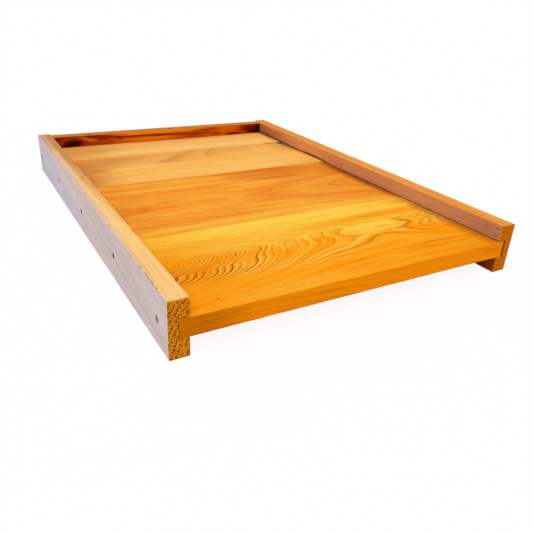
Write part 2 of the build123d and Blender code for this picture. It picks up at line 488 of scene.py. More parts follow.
def growth_rings_group():
    """Ring number of a point in a sawn board: its distance r from the pith over the ring width.

    Place is in millimetres with u along the grain, v across it and w up. The pith lies Pith Depth under
    the origin and comes up at both ends by the square of the distance past Crest, in Bows, times the ring
    width: h is the height over it. Then r r = h h + q, where q rises from a front ridge at v = 0 and a
    rear one at v = g as (Spread d) (Spread d) + Point d, d being the distance past the ridge. The front
    Point dies away over Point Reach along the grain and Point Fade across it, and the rise of the pith
    over Flatten in front of the ridge, so that the rings run straighter there. Between the ridges q has a
    roof of height Valley. Along -u the front ridge first goes back by Merge, then the rear ridge drifts
    forward by Fan and the front one by Drift, the roof goes down and all in front of the rear ridge is
    raised by Shelf.
    """
    graph, given, out = new_group("growth_rings", {
        "Place": ORIGIN, "Pith Depth": 60.0, "Ring Width": 3.0, "Crest": 20.0, "Bow": 60.0,
        "Front Spread": 1.0, "Front Point": 0.0, "Point Reach": FAR, "Point Fade": FAR, "Flatten": 10 * FAR,
        "Rear Spread": 1.0, "Rear Point": 0.0, "Ridge Gap": 0.0, "Valley": 0.0, "Shelf": 0.0, "Fan": 0.0,
        "Drift": 0.0, "Merge": 0.0, "Waver": 0.3,
    }, ["Rings"])
    left_from, left_to = -55.0, -215.0
    merge_at, merge_reach, merge_fade = -112.0, 50.0, 45.0
    least_gap, ridge_blend = 0.1, 1.5
    roof_place, rear_slope = 0.42, 0.8
    along, across, up = graph.split(given["Place"])
    left = along.step(left_from, left_to)
    gap = (given["Ridge Gap"] - given["Fan"] * left).least(least_gap)
    merging = graph.bell((along - merge_at) / merge_reach)
    ahead = graph.bell((-1.0 * across).least(0.0) / merge_fade)
    drift = given["Drift"] * left - given["Merge"] * merging * ahead
    inner = across + drift
    width = gap + drift
    front = graph.math("SMOOTH_MAX", -1.0 * inner, 0.0, ridge_blend)
    rear = graph.math("SMOOTH_MAX", across - gap, 0.0, ridge_blend)
    near = graph.bell(along / given["Point Reach"]) * graph.bell(front / given["Point Fade"])
    risen = ((along.size() - given["Crest"]).least(0.0) / given["Bow"]) ** 2.0
    risen = risen * graph.bell(front / given["Flatten"]) * given["Ring Width"]
    height = (given["Pith Depth"] + up - risen).least(0.0)
    square = height * height + (front * given["Front Spread"]) ** 2.0 + (rear * given["Rear Spread"]) ** 2.0
    square = square + front * near * given["Front Point"] + rear * given["Rear Point"]
    peak = width * roof_place
    slope = ((peak - inner) / peak).least((inner - peak) / (width - peak) * rear_slope)
    roof = (1.0 - left) * (1.0 - merging * graph.math("MINIMUM", given["Merge"], 1.0))
    square = square + (1.0 - slope).least(0.0) * roof * given["Valley"]
    square = square + (inner / width).step(1.0, 0.0) * left ** 2.0 * given["Shelf"]
    waver = graph.noise(given["Place"], sizes=(30.0, 9.0, 9.0), detail=3.0) - 0.5
    rings = graph.math("SQRT", square) / given["Ring Width"] + waver * given["Waver"]
    graph.put(out["Rings"], rings)


def ring_lines_group():
    """Late-wood line of each ring, which darkens slowly and ends at once, and the early wood after it.

    Every ring has its own strength, between Evenness and 1, and the early wood that of the line before.
    Across a ring, as a share of it, the line rises as a square from Start to 0.95 and falls from 0.92 to 1.
    The early wood comes in by 0.04 and fades from 0.02 to 0.6.
    """
    inputs = {"Rings": 0.0, "Start": 0.25, "Evenness": 0.3, "Seed": 0.0}
    graph, given, out = new_group("ring_lines", inputs, ["Late", "Early"])
    number = graph.math("FLOOR", given["Rings"]) + given["Seed"]
    share = graph.math("FRACT", given["Rings"])
    few_strong = 1.5
    strengths = []
    for ring in (number, number - 1.0):
        chance = graph.wire(graph.add("ShaderNodeTexWhiteNoise", {"W": ring}, noise_dimensions="1D"), "Value")
        strengths.append(graph.ramp(chance ** few_strong, 0.0, 1.0, given["Evenness"], 1.0))
    rise = graph.ramp(share, given["Start"], 0.95) ** 2.0
    fall = graph.ramp(share, 1.0, 0.92)
    early = graph.ramp(share, 0.6, 0.02) * graph.ramp(share, 0.0, 0.04)
    graph.put(out["Late"], rise * fall * strengths[0])
    graph.put(out["Early"], early * strengths[1])


def fibre_group():
    """Streaks and thin threads that follow the rings, and fine fibre and short pores, each from 0 to 1."""
    inputs = {"Place": ORIGIN, "Rings": 0.0}
    graph, given, out = new_group("fibre", inputs, ["Streak", "Thread", "Fibre", "Pore"])
    along = graph.split(given["Place"])[0]
    followed = graph.wire(graph.add("ShaderNodeCombineXYZ", {0: along, 1: given["Rings"]}))
    streak = graph.noise(followed, sizes=(190.0, 1.1, 1.0), detail=3.0, roughness=0.55)
    thread = graph.noise(followed, sizes=(120.0, 0.4, 1.0))
    fibre = graph.noise(given["Place"], sizes=(26.0, 1.6, 1.6), detail=4.0, roughness=0.6)
    pore = graph.noise(given["Place"], sizes=(5.0, 0.5, 0.5), detail=1.0)
    graph.put(out["Streak"], streak.step(0.3, 0.7))
    graph.put(out["Thread"], thread.step(0.54, 0.74))
    graph.put(out["Fibre"], fibre.step(0.25, 0.75))
    graph.put(out["Pore"], pore.step(0.66, 0.78))


def patch_group():
    """Patch of colour: 1 at Centre, falling off towards an ellipsoid of half axes Size with a frayed edge.

    Fray is how far the edge wanders, as a share of Size, in waves of about Fray Size.
    """
    graph, given, out = new_group("patch", {
        "Place": ORIGIN, "Centre": ORIGIN, "Size": (1.0, 1.0, 1.0), "Fray": 0.4,
        "Fray Size": (30.0, 3.0, 3.0),
    }, ["Mask"])
    offset = graph.vector("DIVIDE", graph.vector("SUBTRACT", given["Place"], given["Centre"]), given["Size"])
    away = graph.vector("LENGTH", offset, output="Value")
    fray = graph.noise(given["Place"], given["Fray Size"], detail=3.0) - 0.5
    outer_edge, inner_edge = 1.15, 0.35
    graph.put(out["Mask"], (away + fray * given["Fray"]).step(outer_edge, inner_edge))


def end_cells_group():
    """Cut end: dark specks of open cells strung along about every other ring, pale dust and saw marks."""
    graph, given, out = new_group("end_cells", {"Place": ORIGIN, "Rings": 0.0}, ["Speck", "Dust", "Saw"])
    strings_per_ring, gathered = 0.55, 0.14
    share = graph.math("FRACT", given["Rings"] * strings_per_ring)
    cells = graph.noise(given["Place"], sizes=(20.0, 1.2, 1.2), roughness=0.6)
    cells = cells + share.step(0.1, 0.8) * gathered
    graph.put(out["Speck"], cells.step(0.61, 0.68))
    graph.put(out["Dust"], graph.noise(given["Place"], sizes=(20.0, 1.1, 1.1)).step(0.5, 0.64))
    graph.put(out["Saw"], graph.noise(given["Place"], sizes=(5.0, 0.5, 9.0)))


def shared_groups():
    """Builds each shared node group once."""
    makers = {
        "growth_rings": growth_rings_group, "ring_lines": ring_lines_group, "fibre": fibre_group,
        "patch": patch_group, "end_cells": end_cells_group,
    }
    for name, make in makers.items():
        if name not in bpy.data.node_groups:
            make()


def new_material(name):
    """Material with its shader: the material, its graph and the shader's inputs."""
    material = bpy.data.materials.new(name)
    material.use_nodes = True
    return material, Graph(material.node_tree), material.node_tree.nodes["Principled BSDF"].inputs


class Grain:
    """Frame of a board's grain: X along it, Y across and Z up, from an origin in millimetres.

    A side rail's grain runs along Y of the object, a quarter turn from a plank's. tilt turns the grain
    about the object's X and slant about its Z, in radians.
    """

    def __init__(self, origin, along_y=False, tilt=0.0, slant=0.0):
        self.origin = Vector(origin)
        self.angles = Euler((tilt, 0.0, slant - math.pi / 2 if along_y else slant))
        self.turn = self.angles.to_matrix()

    def place(self, graph):
        """Object coordinates in the grain's frame."""
        spot = graph.wire(graph.add("ShaderNodeTexCoord"), "Object")
        moved = self.turn @ -self.origin
        inputs = {"Vector": spot, "Location": moved, "Rotation": self.angles, "Scale": (1 / MM,) * 3}
        return graph.wire(graph.add("ShaderNodeMapping", inputs))

    def spot(self, place):
        """Place in the object as the grain's frame has it."""
        return tuple(self.turn @ (Vector(place) - self.origin))

    def extent(self, size):
        """Sizes along the object's axes in the order of the grain's, to the nearest right angle."""
        return tuple(np.rint(np.abs(np.array(self.turn))) @ np.array(size))


def on_face(axis, level, reach, rows):
    """Patches or accents on a face square to an axis, that reach so far out of it and into the wood.

    Each row has a tone, unless it is an accent, then a place along both other axes, half a size along
    both, and a share.
    """
    marks = []
    for *tone, first, second, half_first, half_second, share in rows:
        centre, size = [first, second], [half_first, half_second]
        centre.insert(axis, level)
        size.insert(axis, reach)
        marks.append((*tone, centre, size, share))
    return marks


def patch_mask(graph, grain, place, centre, size, **fraying):
    """Mask of one patch, with its centre and half axes in the object."""
    spread = grain.extent(size)
    return graph.group("patch", place=place, centre=grain.spot(centre), size=spread, **fraying)["Mask"]


def stained_and_shaded(graph, wood, tones, grain, place, patches, **fraying):
    """Wood with patches of its tones, some of them painted shade: (tone, centre, half axes, share) each, with
    places in the object.
    """
    for tone, centre, size, share in patches:
        mask = patch_mask(graph, grain, place, centre, size, **fraying)
        wood = graph.mix(mask * share, wood, getattr(tones, tone))
    return wood


# How strongly parts of the wood show in its colour, its roughness and its relief
WOOD_SHINE = 0.01
BETWEEN_STREAKS = 0.35
PORE_SHADE = 0.25
FIBRE_SHADE = 0.16
FIBRE_ROUGHNESS, LATE_POLISH = 0.14, 0.08
FIBRE_RELIEF, LATE_RELIEF, PORE_RELIEF = 0.6, 0.5, 0.7
END_LATE, END_DUST = 0.4, 0.6
END_ROUGHNESS, DUST_ROUGHNESS = 0.72, 0.1


def long_grain(name, tones, grain, lines=1.0, early=1.0, line=None, accents=(), streaks=0.5, threads=0.25,
               patches=(), fraying=None, gloss=0.5, broken=0.0, shine=WOOD_SHINE, **rings):
    """Wood seen along its grain: ring lines over patches, streaks and fibre.

    lines is the strength of the late wood, and early that of the early wood as a share of it. broken is
    the share by which the lines come and go along their way. line holds the inputs of the ring lines, and
    fraying those of the patches' edges. accents lists patches of (centre, half axes, change) where the
    ring lines are stronger by that share, or weaker where it is below 0.
    """
    material, graph, shader = new_material(name)
    place = grain.place(graph)
    ring = graph.group("growth_rings", place=place, **rings)["Rings"]
    ring_line = graph.group("ring_lines", rings=ring, **(line or {}))
    fibre = graph.group("fibre", place=place, rings=ring)
    strength = lines
    for centre, size, change in accents:
        strength = (patch_mask(graph, grain, place, centre, size) * change + 1.0) * strength
    wood = graph.mix(fibre["Streak"] * streaks, tones.body, tones.pale)
    wood = graph.mix(ring_line["Early"] * strength * early, wood, tones.pale)
    wood = stained_and_shaded(graph, wood, tones, grain, place, patches, **(fraying or {}))
    darkened = (
        ring_line["Late"] * strength * (1.0 - fibre["Streak"] * broken),
        (1.0 - fibre["Streak"]) * (BETWEEN_STREAKS * streaks),
        fibre["Thread"] * threads,
        fibre["Pore"] * PORE_SHADE,
    )
    for share in darkened:
        wood = graph.mix(share, wood, tones.dark)
    fine = fibre["Fibre"] * FIBRE_SHADE + (1.0 - FIBRE_SHADE / 2)
    shade = graph.wire(graph.add("ShaderNodeCombineColor", {0: fine, 1: fine, 2: fine}))
    graph.put(shader["Base Color"], graph.mix(1.0, wood, shade, "MULTIPLY"))
    roughness = fibre["Fibre"] * FIBRE_ROUGHNESS - ring_line["Late"] * LATE_POLISH + gloss
    graph.put(shader["Roughness"], roughness)
    shader["Specular IOR Level"].default_value = shine
    relief = fibre["Fibre"] * FIBRE_RELIEF + ring_line["Late"] * LATE_RELIEF - fibre["Pore"] * PORE_RELIEF
    graph.put(shader["Normal"], graph.bump(relief, strength=0.25, millimetres=0.15))
    return material


def cut_end(name, tones, grain, specks=0.9, patches=(), **rings):
    """Wood cut across its grain: rings as arcs, with dark specks of open cells and saw marks."""
    material, graph, shader = new_material(name)
    place = grain.place(graph)
    ring = graph.group("growth_rings", place=place, **rings)["Rings"]
    line = graph.group("ring_lines", rings=ring, start=0.2, evenness=0.5)
    cells = graph.group("end_cells", place=place, rings=ring)
    wood = graph.mix(line["Late"] * END_LATE, tones.body, tones.dark)
    wood = graph.mix(cells["Dust"] * END_DUST, wood, tones.pale)
    wood = graph.mix(cells["Speck"] * specks, wood, tones.stain)
    wood = stained_and_shaded(graph, wood, tones, grain, place, patches, fray=1.2, fray_size=(30.0, 1.5, 1.5))
    graph.put(shader["Base Color"], wood)
    graph.put(shader["Roughness"], cells["Dust"] * DUST_ROUGHNESS + END_ROUGHNESS)
    shader["Specular IOR Level"].default_value = WOOD_SHINE
    graph.put(shader["Normal"], graph.bump(cells["Saw"] - cells["Speck"], strength=0.5, millimetres=0.25))
    return material


# Floor planks

# Numbers of a plank's finishes
PLANK_TOP, PLANK_HIDDEN, PLANK_FRONT, PLANK_END = range(4)
PLANK_SPACING = 2.6
PLANK_CAP = 2.0
PLANK_WEAR = 0.45
PLANK_GLOSS = 0.45
# Height over a plank's underside where its cup begins
CUP_FROM = 6
# Reach of the figure's marks into a plank, and of small specks
DEEP, SHALLOW = 40, 3
# Place of the marks on the front plank's edge
FRONT_FACE = -289

FRONT_ACCENTS = (
    (60, -290, 700, 64, -0.45),
    (60, -128, 420, 54, -0.75),
    (90, -196, 130, 44, -0.1),
    (-150, -220, 110, 40, 1.1),
    (-150, -236, 100, 16, 0.9),
    (-20, -214, 60, 20, -0.5),
    (150, -262, 190, 48, -0.8),
    (-90, -192, 64, 16, 0.35),
    (0, -238, 90, 14, 0.8),
    (-140, -250, 130, 19, -0.75),
)
FRONT_PATCHES = (
    ("pale", 70, -135, 350, 32, 0.9),
    ("pale", -30, -170, 160, 22, 0.36),
    ("pale", -98, -182, 56, 16, 0.4),
    ("pale", -42, -193, 18, 16, 0.4),
    ("pale", -4, -187, 25, 10, 0.4),
    ("body", 120, -164, 140, 13, 0.5),
    ("body", 20, -142, 120, 4, 0.25),
    ("body", -180, -272, 46, 24, 0.5),
    ("pale", 82, -194, 48, 16, 0.75),
    ("pale", 116, -185, 14, 4, 0.7),
    ("pale", 131, -177.5, 16, 2.8, 0.7),
    ("pale", 36, -179, 24, 2.8, 0.6),
    ("pale", 50, -214, 16, 3.4, 0.6),
    ("pale", 30, -221, 18, 3, 0.5),
    ("pale", 110, -211, 12, 3.6, 0.55),
    ("pale", 128, -220, 16, 3, 0.45),
    ("body", 92.5, -196, 13, 3, 0.5),
    ("body", -160, -212, 110, 44, 0.6),
    ("dark", -158, -222, 60, 24, 0.2),
    ("pale", -98, -226, 46, 24, 0.2),
    ("pale", -80, -278, 80, 14, 0.14),
    ("body", 150, -222, 44, 18, 0.7),
    ("pale", 166, -192, 34, 36, 0.3),
    ("pale", 112, -176, 70, 8, 0.4),
    ("body", 172, -134, 30, 14, 0.5),
    ("body", 136, -136, 64, 13, 0.16),
    ("body", -164, -136, 44, 14, 0.14),
    ("dark", 150, -268, 90, 30, 0.1),
    # Painted shade along the right rail's foot
    ("stain", 196, -206, 28, 190, 0.55),
)
FRONT_SPECKS = (
    ("stain", -153.9, -270.9, 1.6, 1.2, 0.9),
    ("stain", -52, -170.5, 1.6, 1, 0.5),
    ("stain", 55, -199, 1.6, 1, 0.4),
)
SECOND_ACCENTS = (
    (0, -104, 330, 50, -0.7),
    (0, 34, 330, 66, -0.7),
    (40, -43, 70, 34, -0.55),
    (-176, -43, 40, 30, -0.5),
)
SECOND_PATCHES = (
    ("dark", 72, 38, 92, 34, 0.45),
    ("dark", 60, 53, 110, 8, 0.4),
    ("pale", -120, 46, 110, 14, 0.45),
    ("dark", 70, 13, 60, 6, 0.45),
    ("pale", -80, 24, 110, 12, 0.5),
    ("pale", 10, -116, 290, 15, 0.9),
    ("dark", -106, -24, 26, 4, 0.3),
    ("dark", 150, -30, 120, 120, 0.2),
    # Painted shade along the right rail's foot
    ("stain", 194, -32, 23, 180, 0.85),
    ("stain", 184, 26, 40, 44, 0.2),
    # Painted shade along the left rail's foot
    ("stain", -172, -20, 50, 110, 0.1),
    ("dark", -194, -30, 20, 130, 0.45),
)
THIRD_ACCENTS = ((20, 86, 300, 50, -0.6),)
THIRD_PATCHES = (
    ("dark", -10, 174, 320, 38, 0.3),
    ("dark", -150, 172, 100, 40, 0.5),
    # Painted shade along the left rail's foot
    ("dark", -188, 76, 40, 30, 0.35),
    ("pale", 20, 92, 230, 30, 0.5),
    ("pale", 70, 70, 130, 14, 0.8),
    ("dark", -185, 126, 60, 100, 0.5),
    ("stain", 184, 172, 40, 40, 0.17),
    ("pale", -96, 130, 44, 7, 0.8),
    # Painted shade along the left rail's foot, then along the right rail's foot
    ("dark", -192, 130, 30, 110, 0.7),
    ("stain", 194, 128, 13, 170, 0.6),
    # Near-black wedge at the right end of the joint to the rear plank, and its thin tail
    ("stain", 188, 190, 14, 6, 0.97),
    ("stain", 168, 193, 26, 3, 0.6),
)
REAR_PATCHES = (
    ("dark", -170, 236, 100, 50, 0.65),
    ("dark", 60, 264, 200, 12, 0.3),
    ("pale", 60, 213, 230, 20, 0.8),
    # Painted shade along the right rail's foot
    ("stain", 194, 240, 14, 120, 0.6),
)


def plank_edges():
    """Front and shoulder of each plank across the board, in millimetres, with its tongue's edge or None."""
    boxes = [node_box(node) for node in PLANKS]
    gap = small_sizes().plank_gap
    edges = []
    for number, (low, high) in enumerate(boxes):
        last = number == len(boxes) - 1
        shoulder = high[1] if last else boxes[number + 1][0][1] - gap
        edges.append((low[1], shoulder, None if last else high[1]))
    return edges


def groove_depth(sizes):
    """Depth of a plank's groove: how far the tongue in front of it reaches in, and its room."""
    _, shoulder, tip = plank_edges()[0]
    return tip - shoulder - sizes.plank_gap + sizes.tongue_end_gap


def notch(edge, end, first, last):
    """Square corners of a tongue or groove: from an edge to its end at one height, and back at another."""
    places = (edge, first), (end, first), (end, last), (edge, last)
    return [(place, SQUARE, HIDDEN_SPACING, PLANK_HIDDEN) for place in places]


def plank_outline(front, shoulder, tip, grooved, low, high, sizes):
    """Section of a plank across the board: a rectangle, with a tongue behind and a groove in front."""
    middle = (low + high) / 2
    half = sizes.tongue_thickness / 2
    tongue, groove = [], []
    if tip is not None:
        tongue = notch(shoulder, tip, middle - half, middle + half)
    if grooved:
        play = half + sizes.tongue_play
        groove = notch(front, front + groove_depth(sizes), middle + play, middle - play)
    return Outline([
        ((front, low), ROUND, 6.0, PLANK_HIDDEN), ((shoulder, low), ROUND, HIDDEN_SPACING, PLANK_HIDDEN),
        *tongue,
        ((shoulder, high), ROUND, 3.0, PLANK_TOP), ((front, high), ROUND, 2.5, PLANK_FRONT),
        *groove,
    ])


def plank_looks(scene, top):
    """Inputs of each plank's wood, from front to back."""
    front = dict(
        tones=scene.front_plank, grain=Grain((80, -208, top)), pith_depth=67.35, ring_width=1.92,
        crest=18.0, bow=42.5, front_spread=0.7, front_point=32.0, point_reach=30.0, point_fade=18.0,
        flatten=45.0, rear_point=34.0, ridge_gap=24.5, valley=184.0, shelf=850.0, fan=12.0, drift=13.0,
        merge=12.0, waver=0.25, streaks=0.22, threads=0.4, early=0.75, broken=0.7, shine=0.001,
        line=dict(seed=3783840.0, evenness=0.2, start=0.45), accents=on_face(2, top, DEEP, FRONT_ACCENTS),
        patches=on_face(2, top, DEEP, FRONT_PATCHES) + on_face(2, top, SHALLOW, FRONT_SPECKS),
    )
    second = dict(
        tones=scene.second_plank, grain=Grain((-62.3, -43, top)), pith_depth=62.75, ring_width=4.8,
        crest=30.0, bow=157.0, front_spread=0.8, rear_spread=0.85, waver=0.3, lines=0.9, early=0.35,
        streaks=0.6, threads=0.55, line=dict(seed=25120.0, evenness=0.1, start=0.84),
        accents=on_face(2, top, DEEP, SECOND_ACCENTS), patches=on_face(2, top, DEEP, SECOND_PATCHES),
    )
    third = dict(
        tones=scene.third_plank, grain=Grain((-100, 130, top), slant=-0.15), pith_depth=100.2,
        ring_width=10.0, crest=20.0, bow=104.0, front_point=140.0, rear_spread=0.92, waver=0.2, lines=0.75,
        early=0.25, streaks=0.25, threads=0.2, line=dict(seed=54676.0, evenness=0.02, start=0.4),
        accents=on_face(2, top, DEEP, THIRD_ACCENTS), patches=on_face(2, top, DEEP, THIRD_PATCHES),
    )
    rear = dict(
        tones=scene.rear_plank, grain=Grain((0, 330, top)), pith_depth=30.0, ring_width=3.4, crest=FAR,
        waver=0.8, lines=0.35, streaks=0.5, patches=on_face(2, top, DEEP, REAR_PATCHES),
    )
    return front, second, third, rear


def plank_faces(scene):
    """Face of each plank, and the front plank's outer edge."""
    top = node_box(PLANKS[0])[1][2]
    looks = zip(PLANKS, plank_looks(scene, top))
    faces = {node: long_grain(node + "_wood", gloss=PLANK_GLOSS, **look) for node, look in looks}
    edge = long_grain(
        "floor_plank_front_edge", scene.front_edge, Grain((0, -330, top), slant=0.05), lines=0.75,
        streaks=0.25, threads=0.45, line=dict(evenness=0.05, start=0.5), pith_depth=40.0, ring_width=2.3,
        crest=FAR, accents=on_face(1, FRONT_FACE, 30, [(160, 28, 330, 60, -0.95)]),
        # The dark patch at the left end is painted shade of the left rail
        patches=on_face(1, FRONT_FACE, 9, [("dark", -205, 28, 95, 30, 0.6)]),
    )
    return faces, edge


def make_plank(node, number, edges, finishes, sizes):
    """Plank from its outline carried across the hive, cupped along its middle."""
    low, high = node_box(node)
    front, shoulder, tip = edges
    outline = plank_outline(front, shoulder, tip, number > 0, low[2], high[2], sizes)
    along, drawn = stations(low[0], high[0], PLANK_SPACING, sizes.end_arris, PLANK_CAP)
    arris = worn_arris(sizes.plank_arris, PLANK_WEAR, outline, along, phase=1.3 * number, stagger=1.0)
    grid = carry(outline, along, drawn, arris)
    share = (grid[..., 1] - front) / (shoulder - front)
    top = smooth_step(low[2] + CUP_FROM, high[2], grid[..., 2])
    grid[..., 2] -= sizes.plank_cup * top * np.clip(4 * share * (1 - share), 0, 1)
    add_stick(node + "_board", grid, outline, finishes, PLANK_END, node)


class BOTTOMBOARD_OT_floor_planks(bpy.types.Operator):
    """Make the four tongued planks of the floor"""

    bl_idname = "bottom_board.floor_planks"
    bl_label = "Floor planks"

    def execute(self, context):
        scene = context.scene
        shared_groups()
        faces, edge = plank_faces(scene)
        ends = cut_end("plank_end", scene.left_end, Grain((0, 0, 60)), ring_width=2.4)
        for number, (node, edges) in enumerate(zip(PLANKS, plank_edges())):
            face = faces[node]
            finishes = [face, face, face if number else edge, ends]
            make_plank(node, number, edges, finishes, small_sizes())
        return {"FINISHED"}


# Side rails

# Numbers of a rail's finishes
RAIL_OUTER, RAIL_TOP, RAIL_INNER, RAIL_UNDER, RAIL_END, RAIL_GROOVE, RAIL_LOWER = range(7)
RAIL_SPACING = 2.0
RAIL_CAP = 2.2
RAIL_WEAR = 0.5
# Rings that run straight along a rail
RAIL_RINGS = dict(pith_depth=40.0, ring_width=2.6, crest=FAR, waver=0.5)
FEW_LINES = dict(evenness=0.05)
# Reach of the marks into a rail's weathered faces, its inner face and its ends
RAIL_DEEP, INNER_DEEP, LEFT_END_DEEP, RIGHT_END_DEEP = 20, 4, 4, 3
# Place along the left rail, depth and half length of each chip in its outer top arris
CHIPS = (
    (-197.0, 0.7, 2.6), (-222.0, 1.6, 1.6), (-238.0, 1.0, 5.0), (-252.0, 1.2, 4.0), (-264.0, 1.5, 1.6),
    (-120.0, 0.5, 2.6), (60.0, 0.4, 2.0),
)
# Painted shade in a chip, as a share for each millimetre of its depth
CHIP_SHADE = 0.55
# Torn fibres: waves up the face, how far they run in from the face and the end, and from what height
TEAR_WAVES = (9.0, 5.1, 3.3, 2.2)
TEAR_PHASE, TEAR_MORE = 2.0, 0.2
TEAR_DEPTH, TEAR_IN, TEAR_ALONG = 1.6, 1.6, 2.2
TEAR_FROM, TEAR_FULL = 40.0, 42.0


def rail_outline(side, low, high, sizes):
    """Section of a side rail: a stick with a groove in its inner face. side is -1 for left, 1 for right."""
    plank_low, plank_high = node_box(PLANKS[0])
    outer, inner = (low[0], high[0]) if side < 0 else (high[0], low[0])
    end = plank_low[0] - sizes.left_end_gap if side < 0 else plank_high[0] + sizes.right_end_gap
    floor, roof = plank_low[2], plank_high[2] + sizes.groove_play
    return Outline([
        ((outer, low[2]), ROUND, 5.0, RAIL_UNDER), ((inner, low[2]), ROUND, 3.0, RAIL_LOWER),
        ((inner, floor), EASED, HIDDEN_SPACING, RAIL_GROOVE),
        ((end, floor), SQUARE, HIDDEN_SPACING, RAIL_GROOVE),
        ((end, roof), SQUARE, HIDDEN_SPACING, RAIL_GROOVE), ((inner, roof), EASED, 0.8, RAIL_INNER),
        ((inner, high[2]), ROUND, 1.5, RAIL_TOP), ((outer, high[2]), ROUND, 0.8, RAIL_OUTER),
    ])


def rail_nails(node):
    """Names of the nails through a side rail."""
    return [f"{node}_nail_{number + 1}" for number in range(RAIL_NAILS)]


def nail_heads(names):
    """Middle of each nail's box, and the radius of their heads."""
    boxes = [node_box(name) for name in names]
    sizes = np.sort(boxes[0][1] - boxes[0][0])
    return [(low + high) / 2 for low, high in boxes], sizes[0] / 2


def chip_shade_patches():
    """Painted shade where the left rail's outer top arris is chipped, darker where a chip is deeper."""
    low, high = node_box("left_rail")
    return [
        ("dark", (low[0], place, high[2]), (1.6, 2.0 * reach, 1.6), CHIP_SHADE * depth)
        for place, depth, reach in CHIPS
    ]


def nail_dark_patches(node, outer, share):
    """Dark patches on a rail's outer face round its nails, over the dents that their heads press in."""
    heads, radius = nail_heads(rail_nails(node))
    return [("dark", (outer, head[1], head[2]), (9.0, 1.5 * radius, 1.4 * radius), share) for head in heads]


def left_rail_finishes(scene):
    """Outer face, top, inner face, underside, ends, groove and under-floor face of the left rail."""
    low, high = node_box("left_rail")
    top, front, outer = high[2], low[1], low[0]
    heart = (outer + 41.5, 0.0, 46.0)
    straight = Grain(heart, along_y=True)
    tilted = Grain(heart, along_y=True, tilt=-0.11)
    steep = Grain((outer + 97.0, 0.0, 18.0), along_y=True)
    chips = chip_shade_patches()
    outer_patches = on_face(0, outer, RAIL_DEEP, [
        ("stain", 210, 16, 330, 46, 0.5),
        ("stain", 0, 3, 170, 10, 0.6),
        ("stain", -240, 0, 110, 5, 0.7),
        ("dark", -70, 44, 80, 0.6, 0.35),
        ("dark", -120, 27, 90, 0.6, 0.4),
        ("dark", -190, 33, 80, 0.6, 0.4),
        ("dark", -215, 17, 70, 0.6, 0.35),
        ("pale", -250, 36, 60, 10, 0.6),
        ("pale", 66, 42, 110, 17, 0.6),
        ("dark", 280, 14, 60, 20, 0.08),
    ])
    top_patches = on_face(2, top, RAIL_DEEP, [
        ("dark", outer + 15, 330, 11, 445, 0.85),
        ("stain", outer + 1, 330, 8, 520, 0.85),
        ("dark", outer + 2, 290, 9, 150, 0.45),
        ("stain", outer + 1, -40, 7, 270, 0.35),
        ("dark", outer + 3.4, -236, 0.5, 70, 0.45),
        ("dark", outer + 1.4, -196, 0.6, 50, 0.3),
        ("dark", outer + 13, -230, 0.5, 90, 0.35),
    ])
    end_patches = on_face(1, front, LEFT_END_DEEP, [
        # Dark line at the groove's roof: partly dark fibres, partly painted shade of the gap above the plank
        ("stain", outer + 14.5, 39.2, 3.4, 0.9, 0.7),
        # Pale rim along the top arris: frayed fibres, partly a painted highlight where they catch the light
        ("pale", outer + 10, top, 13, 1.3, 0.9),
    ])
    # Outer face and underside: the lilac grey of their tone is painted cool light from the left
    outer_face = long_grain(
        "left_rail_outer", scene.left_outer, tilted, lines=0.6, early=0.3, broken=0.6, line=FEW_LINES,
        streaks=0.25, threads=0.16, gloss=0.6, **dict(RAIL_RINGS, pith_depth=110.0),
        patches=outer_patches + nail_dark_patches("left_rail", outer, 0.8) + chips,
    )
    top_face = long_grain(
        "left_rail_top", scene.left_top, straight, lines=0.55, early=0.4, line=FEW_LINES, streaks=0.25,
        threads=0.12, patches=top_patches + chips, **RAIL_RINGS,
    )
    inner_face = long_grain("left_rail_inner", scene.left_inner, straight, lines=0.6, **RAIL_RINGS)
    end = cut_end("left_rail_end", scene.left_end, steep, specks=1.0, patches=end_patches, **RAIL_RINGS)
    # Groove: its dark maroon tone is painted shade inside the slot
    groove = long_grain("left_rail_groove", scene.groove, straight, **RAIL_RINGS)
    return [outer_face, top_face, inner_face, outer_face, end, groove, inner_face]


